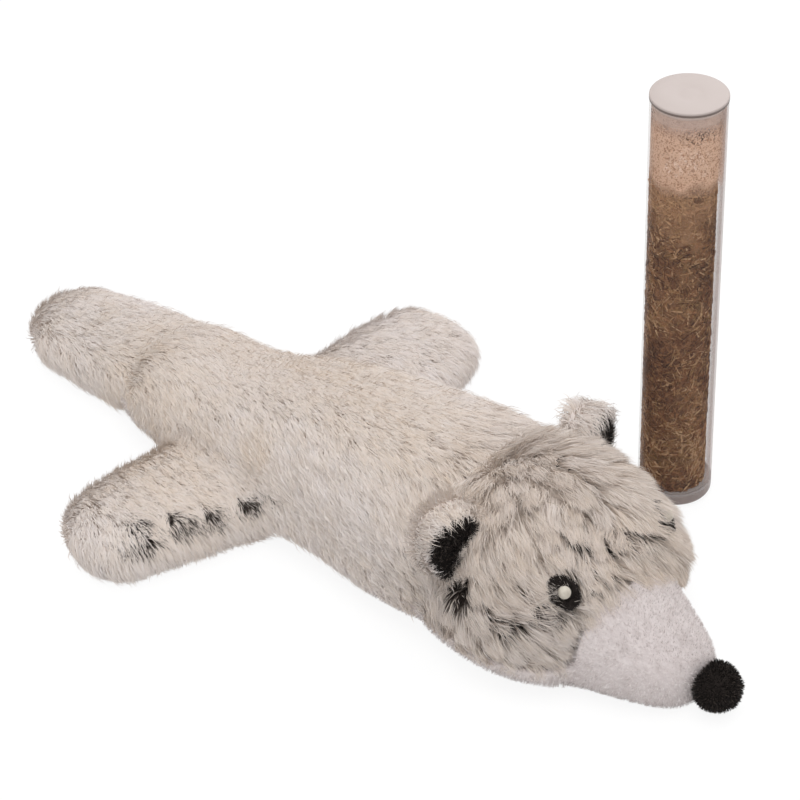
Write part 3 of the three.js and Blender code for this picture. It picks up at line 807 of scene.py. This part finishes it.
def fuzzOver(form, name, body, keep, perMm2=fuzz["perMm2"], length=fuzz["length"], material=fuzzLook, slot="plush",
             lean=(-0.6, 0, -0.6), width=fuzz["width"], stand=0.55):
    at, n, _ = scattered(form, perMm2 * thin, keep)
    nap = alongSurface(np.array(lean) + rng.normal(size=at.shape) * 0.5, n)
    long = length * mm * rng.uniform(0.5, 1.3, len(at))[:, None]
    if slot == "plush":  # longer along the seam of the belly and where it meets the snout
        ahead = at[:, 0] / mm - plush["split"]
        alongSeam = (ahead < 0) * np.clip(at[:, 2] / mm - 2.5, 0, 5) * 0.1
        long *= (1 + alongSeam + 0.8 * np.exp(-(ahead / 2.5) ** 2))[:, None]
    tips = at + n * long * stand + nap * long * (1 - stand)
    tips[:, 2] = np.maximum(tips[:, 2], 0.1 * mm)
    strands = bundle(at - n * 0.2 * mm, at + n * long * 0.45, tips, n, width / math.sqrt(thin),
                     rng.uniform(0.01, 0.99, len(at)))
    furPieces(name, strands, body, material, slot, (0, 0.6, 1))


flapLow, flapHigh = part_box("pocket_flap")


def besideFlap(at, n, _):
    x, y, z = at.T / mm
    beside = (x < flapLow.x / mm - 2) | (x > flapHigh.x / mm + 2) | (abs(y) > flapHigh.y / mm + 3)
    return beside & (x < plush["split"]) & (z > 1.2) & ((n[:, 2] < 0.7) | (z > 5))


fuzzOver(plushForm, "belly_fuzz", "body", besideFlap)
fuzzOver(plushForm, "snout_fuzz", "body", lambda at, n, _: (at[:, 0] > plush["split"] * mm) & (at[:, 2] > 0.6 * mm),
         lean=(-1, 0, -0.2))
for i, (name, node) in enumerate((("snout_plush", "snout"), ("belly_plush", "belly_panel"))):
    skin = skinOf(plushForm, name, lambda vertices: plushOwner[vertices[0]] == i)
    finished(skin, "body", "plush", plushLook, node, fill=0.8)
bpy.data.objects.remove(plushForm)
print("plush made")

# The pocket under the belly: a flap with a stitched hem, hook and loop tape, a cotton lining, and a muslin pouch
pocket = {"hemIn": 1.6, "stitch": 1.5, "stitchGap": 1.1, "thread": 0.34, "threadAt": 0.12, "hooksPerMm2": 5,
          "hook": 0.3, "hookWidth": 0.09, "creases": 0.35, "lumps": 1.3}


def cloth(name, pale, deep, threadsPerMm, roughness=0.9):
    look = Finish(name)
    warp, weft = (look.axis(letter) * (threadsPerMm * 2000 * math.pi) for letter in "XY")
    weave = warp.maths("SINE") * weft.maths("SINE") * 0.5 + 0.5
    slub = look.grain(240, 3, look.position(0.2, 1, 1))
    colour = look.mix(weave * 0.6 + look.rise(slub, 0.4, 0.7) * 0.4, deep, pale)
    return look.surface(colour, roughness, 0.2, bump=(weave * 0.7 + slub * 0.3, 0.5, 0.15))


def fluffy():
    look = Finish("polyesterFluff")
    fibres = look.grain(260, 5, Distortion=2.5)
    colour = look.ramp(fibres, (0.3, (0.62, 0.62, 0.62)), (0.7, (0.86, 0.86, 0.85)))
    return look.surface(colour, 0.95, 0.15, bump=(fibres, 0.9, 1.2))


def nylon():
    look = Finish("nylonTape")
    across, up = strandMap(look)
    return look.surface(look.mix(across * 0.6 + up * 0.4, (0.6, 0.6, 0.59), (0.8, 0.8, 0.78)), 0.45)


cottonLook = cloth("cottonLining", (0.74, 0.72, 0.68), (0.55, 0.53, 0.5), 2.2)
muslinLook = cloth("muslin", (0.66, 0.57, 0.42), (0.43, 0.36, 0.25), 1.3)
tapeLook = cloth("tapeWeb", (0.74, 0.74, 0.72), (0.52, 0.52, 0.5), 1.8, 0.7)
fluffLook, nylonLook = fluffy(), nylon()

flap = softForm(["pocket_flap"], "flap_plush", 0.4, 3)
fuzzOver(flap, "flap_fuzz", "flap", lambda at, n, _: n[:, 2] < -0.3, length=0.5, lean=(-0.8, 0, 0))
finished(flap, "flap", "plush", plushLook, "pocket_flap", fill=0.4)
hem, depth = pocket["hemIn"] * mm, pocket["threadAt"] * mm
near, far, left, right = flapHigh.x - hem, flapLow.x + hem, flapHigh.y - hem, flapLow.y + hem
corners = [(far, right), (near, right), (near, left), (far, left)]
pitch = pocket["stitch"] + pocket["stitchGap"]
starts, ends = [], []
for (ax, ay), (bx, by) in zip(corners[:-1], corners[1:]):
    count = int(math.hypot(bx - ax, by - ay) / mm / pitch)
    for i in range(count):
        for row, along in ((starts, i + 0.2), (ends, i + 0.2 + pocket["stitch"] / pitch)):
            row.append((ax + (bx - ax) * along / count, ay + (by - ay) * along / count, depth))
starts, ends = np.array(starts), np.array(ends)
down = np.tile((0.0, 0, -1), (len(starts), 1))
stitches = bundle(starts, (starts + ends) / 2 + down * depth, ends, down, pocket["thread"],
                  rng.uniform(0.2, 0.9, len(starts)))
furPieces("hem_stitches", stitches, "flap", nylonLook, "plush", (0, 0.25, 0.75, 1))

for tape, body, sign in (("hook_tape", "flap", 1), ("loop_tape", "body", -1)):
    pad = softForm([tape], tape + "_web", 0.25, 1)
    at, n, _ = scattered(pad, pocket["hooksPerMm2"], lambda at, n, _: n[:, 2] * sign > 0.9)
    side = rng.normal(size=at.shape) * (1, 1, 0)
    hooks = bundle(at - n * 0.1 * mm, at + n * pocket["hook"] * mm, at + unit(side) * 0.25 * mm + n * 0.05 * mm, side,
                   pocket["hookWidth"], rng.uniform(0.2, 0.9, len(at)))
    furPieces(tape.replace("_tape", "s"), hooks, body, nylonLook, "tape", (0, 0.3, 0.6, 1))
    finished(pad, body, "tape", tapeLook, tape, fill=0.5)

lining = softForm(["pocket_lining"], "lining_cloth", 0.45, 3)
finished(lining, "body", "lining", cottonLook, "pocket_lining", fill=0.2)

pouch = softForm(["catnip_pouch"], "muslin_pouch", 0.5, 8)
pressedIn(pouch, lambda co: (drift(co, 5, 0) * 0.5 + 0.5) * pocket["creases"])
finished(pouch, "body", "muslin", muslinLook, "catnip_pouch", fill=0.8)

for part in ("body_stuffing", "head_stuffing"):
    wad = softForm([part], part.replace("stuffing", "fluff"), 1.3, 6)
    pressedIn(wad, lambda co: (abs(drift(co, 1.8, 6)) * 0.7 + abs(drift(co, 4, 12)) * 0.3) * pocket["lumps"])
    finished(wad, "body", "stuffing", fluffLook, part, fill=0.6)
print("pocket and stuffing made")

# Ears: a cup of fur, bare near its black lining
ear = {"strandsPerMm2": 10, "liningPerMm2": 13, "liningReach": 1.8,
       "left": {"bare": 0.45, "reach": 3.8, "proud": 1.6, "rearLean": -1.1, "frontLean": 0.15, "droop": 1},
       "right": {"bare": 0.9, "reach": 3.7, "proud": 1, "rearLean": 0.5, "frontLean": 0.7, "droop": 0},
       "pile": {"fullDepth": 1, "loose": 0.16, "gather": 0.2, "patches": 0.2, "swirl": 0.1, "hood": 0,
                "paintedLimbShade": 0.15}}


def earLean(body, own, upward):
    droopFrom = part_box(body + "_fur")[1].z - 6 * mm

    def lean(at, n):
        droop = np.clip((at[:, 2:] - droopFrom) / (3 * mm), 0, 1) * own["droop"] * np.array((0.6, -0.3, -0.6))
        forward = np.where(n[:, :1] < -0.2, own["rearLean"], own["frontLean"]) * np.array((1, 0, 0))
        return upward * 0.5 + droop + forward

    return lean


for side, sign in (("left", 1), ("right", -1)):
    body, own = side + "_ear", ear[side]
    upward = np.array((0.0, sign * 0.6, 0.8))
    cup = softForm([body + "_fur"], body + "_backing", 0.6, 4)
    lining = softForm([body + "_lining"], body + "_lining_pad", 0.45, 6)
    co, _ = meshPoints(lining)
    places, facing, _ = scattered(cup, ear["strandsPerMm2"] * thin)
    fromLining = norm(places - co[nearestOf(places, co)], axis=1)
    outside = (fromLining > own["bare"] * mm) | (facing[:, 0] < 0)
    places, facing = places[outside], facing[outside]
    tuftPlaces, tuftFacing, _ = scattered(cup, fur["tuftsPerMm2"] * 2)
    spec = {**fur, **ear["pile"], "reach": own["reach"], "proud": own["proud"]}
    depth = spec["fullDepth"] * mm
    strands = pile(places, facing, np.full(len(places), depth), earLean(body, own, upward), spec,
                   (tuftPlaces, tuftFacing, np.full(len(tuftPlaces), depth)))
    furPieces(body + "_pile", strands, body, furLook, "fur")
    finished(cup, body, "fur", plushLook, body + "_fur", fill=0.5)
    fuzzOver(lining, body + "_lining_pile", body, lambda at, n, _: n[:, 0] > -0.4, ear["liningPerMm2"],
             ear["liningReach"], blackPileLook, "black_pile", upward * 0.8, 0.2, 0.5)
    finished(lining, body, "black_pile", feltLook, body + "_lining", fill=0.4)

# Eyes of domed felt, each with a bead
for side in ("left", "right"):
    name = side + "_eye"
    felt = softForm([name + "_felt"], name + "_felt_disc", 0.35, 8)
    fuzzOver(felt, name + "_felt_fuzz", "body", lambda at, n, _: n[:, 2] > -0.9, 30, 0.6, blackPileLook, "black_felt",
             (0, 0, -0.3), 0.1, 0.75)
    finished(felt, "body", "black_felt", feltLook, name + "_felt", fill=0.9)
    bead = softForm([name + "_bead"], name + "_bone_bead", 0.16, 3)
    finished(bead, "body", "eye_bead", beadLook, name + "_bead")

# Pompom nose
pom = softForm(["nose_pompom"], "pompom_core", 0.5, 6)
pressedIn(pom, lambda co: 0.5 + drift(co, 7, 6) * 0.25, 0.2)
fuzzOver(pom, "pompom_fuzz", "body", lambda at, n, _: at[:, 2] > 0.6 * mm, 16, 0.85, blackPileLook, "black_pile",
         (0, 0, 0), 0.2, 0.85)
finished(pom, "body", "black_pile", feltLook, "nose_pompom", fill=0.9)
print("ears, eyes and nose made")


# The tube of refill catnip: a wall with a thick round-edged foot, a plug cap, and the catnip with its dust
tube = {"sides": 96, "wall": 0.4, "settled": 0.55, "footEdge": 1.4, "capEdge": 0.25, "skirtWall": 0.8,
        "capRings": ((4.6, 0), (0.5, -0.05), (0.9, 0), (0.5, 0.05))}
leafSide = Vector((-0.725, -0.688, 0))  # the leaf lies against this side of the tube, and opposite it a grey band is painted at the wall's edge: painted shade where the clear wall bends the light
tubeLow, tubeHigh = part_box("tube_wall")
leafLow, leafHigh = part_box("catnip_charge")
capLow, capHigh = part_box("tube_cap")
middle = (tubeLow + tubeHigh) / 2
outer, capRadius = (tubeHigh.x - tubeLow.x) / 2, (capHigh.x - capLow.x) / 2
inner = outer - tube["wall"] * mm
leafMiddle, leafRadius = middle + leafSide * tube["settled"] * mm, inner - (tube["settled"] + 0.05) * mm


def clearWall():
    look = Finish("clearWall")
    edge = look.node("LayerWeight", None, 0.5, out="Facing")
    haze = look.grain(90, 2, look.position(1, 1, 0.15)) * 0.03
    # The thick foot is painted dark and nearly opaque: painted shade in the thick clear base
    foot = 1 - look.rise(look.axis("Z"), 2.6 * mm, 3.6 * mm)
    opposite = (look.axis("X") - middle.x) * -leafSide.x + (look.axis("Y") - middle.y) * -leafSide.y
    # A painted grey band at the edge opposite the leaf: painted shade where the clear wall bends the light
    paintedEdgeBand = look.rise(opposite, 5.5 * mm, 6.9 * mm) * (0.6 + look.grain(140, 3) * 0.8) * look.rise(edge, 0.4, 0.62)
    alpha = look.rise(edge, 0.86, 0.96) * 0.3 + look.rise(edge, 0.56, 0.76) * 0.14 + paintedEdgeBand * 0.26
    alpha = (alpha + haze + foot * 0.7 + 0.03).maths("MINIMUM", 0.92)
    colour = look.mix(foot, (0.45, 0.325, 0.285), (0.27, 0.205, 0.185))
    return look.surface(colour, 0.2, 0.2, Alpha=alpha)


def milkyCap():
    look = Finish("milkyCap")
    colour = look.mix(look.grain(160, 3), (0.455, 0.385, 0.36), (0.49, 0.42, 0.395))
    z, lip = look.axis("Z"), tubeHigh.z
    line = look.rise(z, lip - 0.1 * mm, lip + 0.05 * mm) * (1 - look.rise(z, lip + 0.45 * mm, lip + 0.7 * mm))
    # Below the lip the skirt inside the tube is painted lighter: painted light where the cap and wall shade it
    colour = look.mix(1 - look.rise(z, lip - 0.2 * mm, lip), colour, (0.66, 0.54, 0.49))
    colour = look.mix(line * 0.85, colour, (0.1, 0.065, 0.05))
    return look.surface(colour, 0.38, bump=(look.grain(400, 3), 0.15, 0.2))


def driedLeaf():
    look = Finish("driedLeaf")
    across, _ = strandMap(look)
    colour = look.ramp(across, (0, (0.05, 0.02, 0.01)), (0.2, (0.115, 0.047, 0.022)), (0.42, (0.21, 0.094, 0.044)),
                       (0.6, (0.33, 0.165, 0.078)), (0.75, (0.27, 0.155, 0.065)), (0.88, (0.5, 0.3, 0.16)),
                       (1, (0.7, 0.47, 0.28)))
    colour = look.mix(look.rise(look.axis("Z"), 66 * mm, 76 * mm) * 0.6, colour, (0.62, 0.38, 0.21))
    return look.surface(colour, 0.85, 0.2)


def packedLeaf():
    look = Finish("packedLeaf")
    crumbs = look.grain(520, 4, Distortion=1.2)
    colour = look.ramp(crumbs, (0.3, (0.045, 0.018, 0.009)), (0.5, (0.15, 0.064, 0.03)), (0.7, (0.33, 0.165, 0.078)))
    colour = look.mix(look.rise(look.grain(75, 3), 0.45, 0.7) * 0.5, colour, (0.19, 0.12, 0.045))
    colour = look.mix(look.rise(look.axis("Z"), 62 * mm, 74 * mm) * 0.65, colour, (0.58, 0.33, 0.19))
    return look.surface(colour, 0.95, bump=(crumbs, 0.9, 0.5))


def leafDust():
    look = Finish("leafDust")
    z = look.axis("Z")
    specks = look.rise(look.grain(2900, 4) + (look.grain(900, 2) - 0.5) * 0.3, 0.48, 0.62)
    above = look.rise(z + look.grain(260, 2) * 5 * mm, 80.5 * mm, 84 * mm)
    band = look.rise(z, 90 * mm, 92 * mm) * (1 - look.rise(z, 95.5 * mm, 97 * mm))
    patches = look.rise(look.grain(110, 2), 0.33, 0.55)
    coarse = look.rise(look.grain(1900, 3), 0.54, 0.58) * band * patches
    colour = look.mix(specks * 0.85, (0.84, 0.56, 0.405), (0.34, 0.175, 0.1))
    colour = look.mix(coarse, colour, (0.05, 0.026, 0.016))
    film = (look.grain(35, 2) * 0.2 + 0.74 + specks * 0.1) * (1 - look.rise(z, 91.5 * mm, 95 * mm) * 0.7)
    alpha = (above * film + (1 - above) * specks * 0.08).maths("MAXIMUM", coarse * 0.95)
    return look.surface(colour, 0.9, 0.1, Alpha=alpha)


def cylinder(name, radius, axis, low, high, sides=tube["sides"], **more):
    bpy.ops.mesh.primitive_cylinder_add(vertices=sides, radius=radius, depth=high - low,
                                        location=(axis.x, axis.y, (low + high) / 2), **more)
    return placed(named(name))


def inset(thickness):
    bpy.ops.mesh.inset(thickness=thickness)


def extruded(rise):
    bpy.ops.mesh.extrude_region_move(TRANSFORM_OT_translate={"value": (0, 0, rise)})


def smoothBetweenEdges():
    mode("OBJECT")
    bpy.ops.object.shade_smooth_by_angle(angle=math.radians(40))


wall = cylinder("clear_tube", outer, middle, tubeLow.z, tubeHigh.z)
editing(wall)
pick(wall, lambda c, n: n.z < -0.9)
bpy.ops.mesh.bevel(offset=tube["footEdge"] * mm, segments=6, affect="EDGES")
pick(wall, lambda c, n: n.z > 0.9)
inset(tube["wall"] * mm)
extruded(leafLow.z - 0.2 * mm - tubeHigh.z)
pick(wall, lambda c, n: n.z > 0.9 and c.z < tubeHigh.z - mm)
inset(0.8 * mm)
smoothBetweenEdges()
finished(wall, "tube", "clear_plastic", clearWall(), "tube_wall")

cap = cylinder("plug_cap", capRadius, middle, tubeHigh.z + 0.05 * mm, capHigh.z)
editing(cap)
pick(cap, lambda c, n: n.z > 0.9)
bpy.ops.mesh.bevel(offset=tube["capEdge"] * mm, segments=4, affect="EDGES")
pick(cap, lambda c, n: n.z > 0.9 and (c - middle).xy.length < mm)
for step, lift in tube["capRings"]:
    inset(step * mm)
    bpy.ops.transform.translate(value=(0, 0, lift * mm))
pick(cap, lambda c, n: n.z < -0.9)
inset(capRadius - inner + 0.12 * mm)
extruded(capLow.z - tubeHigh.z)
inset(tube["skirtWall"] * mm)
extruded((tubeHigh.z - capLow.z) * 0.95)
smoothBetweenEdges()
finished(cap, "cap", "cap_plastic", milkyCap(), "tube_cap")

leafSlope = 0.12  # the heap of leaf stands higher to one side

leaf = cylinder("catnip_core", leafRadius - 0.25 * mm, leafMiddle, leafLow.z, leafHigh.z, 48)
modified(leaf, "REMESH", mode="VOXEL", voxel_size=0.55 * mm)
points, normals = meshPoints(leaf)
bumps = (drift(points, 9, 0) * 0.15 + drift(points, 18, 12) * 0.15) * mm
aside = points[:, 0] + points[:, 1] - middle.x - middle.y
heap = rising(points[:, 2], leafHigh.z - 12 * mm, leafHigh.z) * aside * leafSlope
points = points + normals * bumps[:, None]
points[:, 2] = np.maximum(points[:, 2] + heap, leafLow.z)
shaped(leaf, points)
bpy.ops.object.shade_smooth()
finished(leaf, "tube", "catnip", packedLeaf(), "catnip_charge")

flakes = {"leaf_crumbs": {"count": 15500, "length": (0.6, 2.9), "breadth": (0.14, 0.48), "shades": (0, 0.93)},
          "straw_flecks": {"count": 1500, "length": (1.5, 4.4), "breadth": (0.16, 0.32), "shades": (0.7, 1)}}
clinging, strawBunches = 6.2, 260  # how far over the charge leaf clings to the wall, and how the straws are grouped
leafLook, centre = driedLeaf(), np.array(leafMiddle)
for name, flake in flakes.items():
    count, straw = int(flake["count"] * thin), name == "straw_flecks"
    bunch = rng.integers(0, strawBunches, count) if straw else np.arange(count)
    angle, up = rng.uniform(0, 2 * math.pi, count)[bunch] + rng.normal(size=count) * 0.15, rng.random(count)[bunch]
    up = np.abs(up + rng.normal(size=count) * 0.012)
    n = np.stack([np.cos(angle), np.sin(angle), np.zeros(count)], 1)
    out = leafRadius - rng.uniform(0, 0.25, count) * mm
    at = centre + n * out[:, None]
    top = leafHigh.z + clinging * mm + (n[:, 0] + n[:, 1]) * out * leafSlope + rng.normal(size=count) * 0.8 * mm
    at[:, 2] = leafLow.z + up * (top - leafLow.z)
    along = unit(rng.normal(size=at.shape))[bunch] + rng.normal(size=at.shape) * 0.3
    along = unit(along - (along * n).sum(1, keepdims=True) * n * 0.97)
    half = along * rng.uniform(*flake["length"], count)[:, None] * mm / 2
    ends = at - half, at + half
    for end in ends:
        radial = end[:, :2] - centre[:2]
        far = norm(radial, axis=1)
        end[:, :2] = centre[:2] + radial * (np.minimum(far, leafRadius) / far)[:, None]
        end[:, 2] = np.maximum(end[:, 2], leafLow.z)
    if straw:
        across = rng.uniform(*flake["shades"], count)
    else:
        across = rng.normal(0.4, 0.26, count) + drift(at, 4, 6) * 0.26 + drift(at, 1.5, 18) * 0.16
        across = np.clip(across + np.clip(at[:, 2] / mm - 66, 0, 10) * 0.014, *flake["shades"])
    strands = bundle(ends[0], at + n * 0.03 * mm, ends[1], n, rng.uniform(*flake["breadth"], count), across)
    furPieces(name, strands, "tube", leafLook, "catnip", (0, 0.35, 0.8, 1))

dust = cylinder("catnip_dust", inner - 0.04 * mm, middle, leafLow.z, tubeHigh.z - 0.8 * mm, end_fill_type="NOTHING")
bpy.ops.object.shade_smooth()
finished(dust, "tube", "catnip", leafDust())
print("tube made")
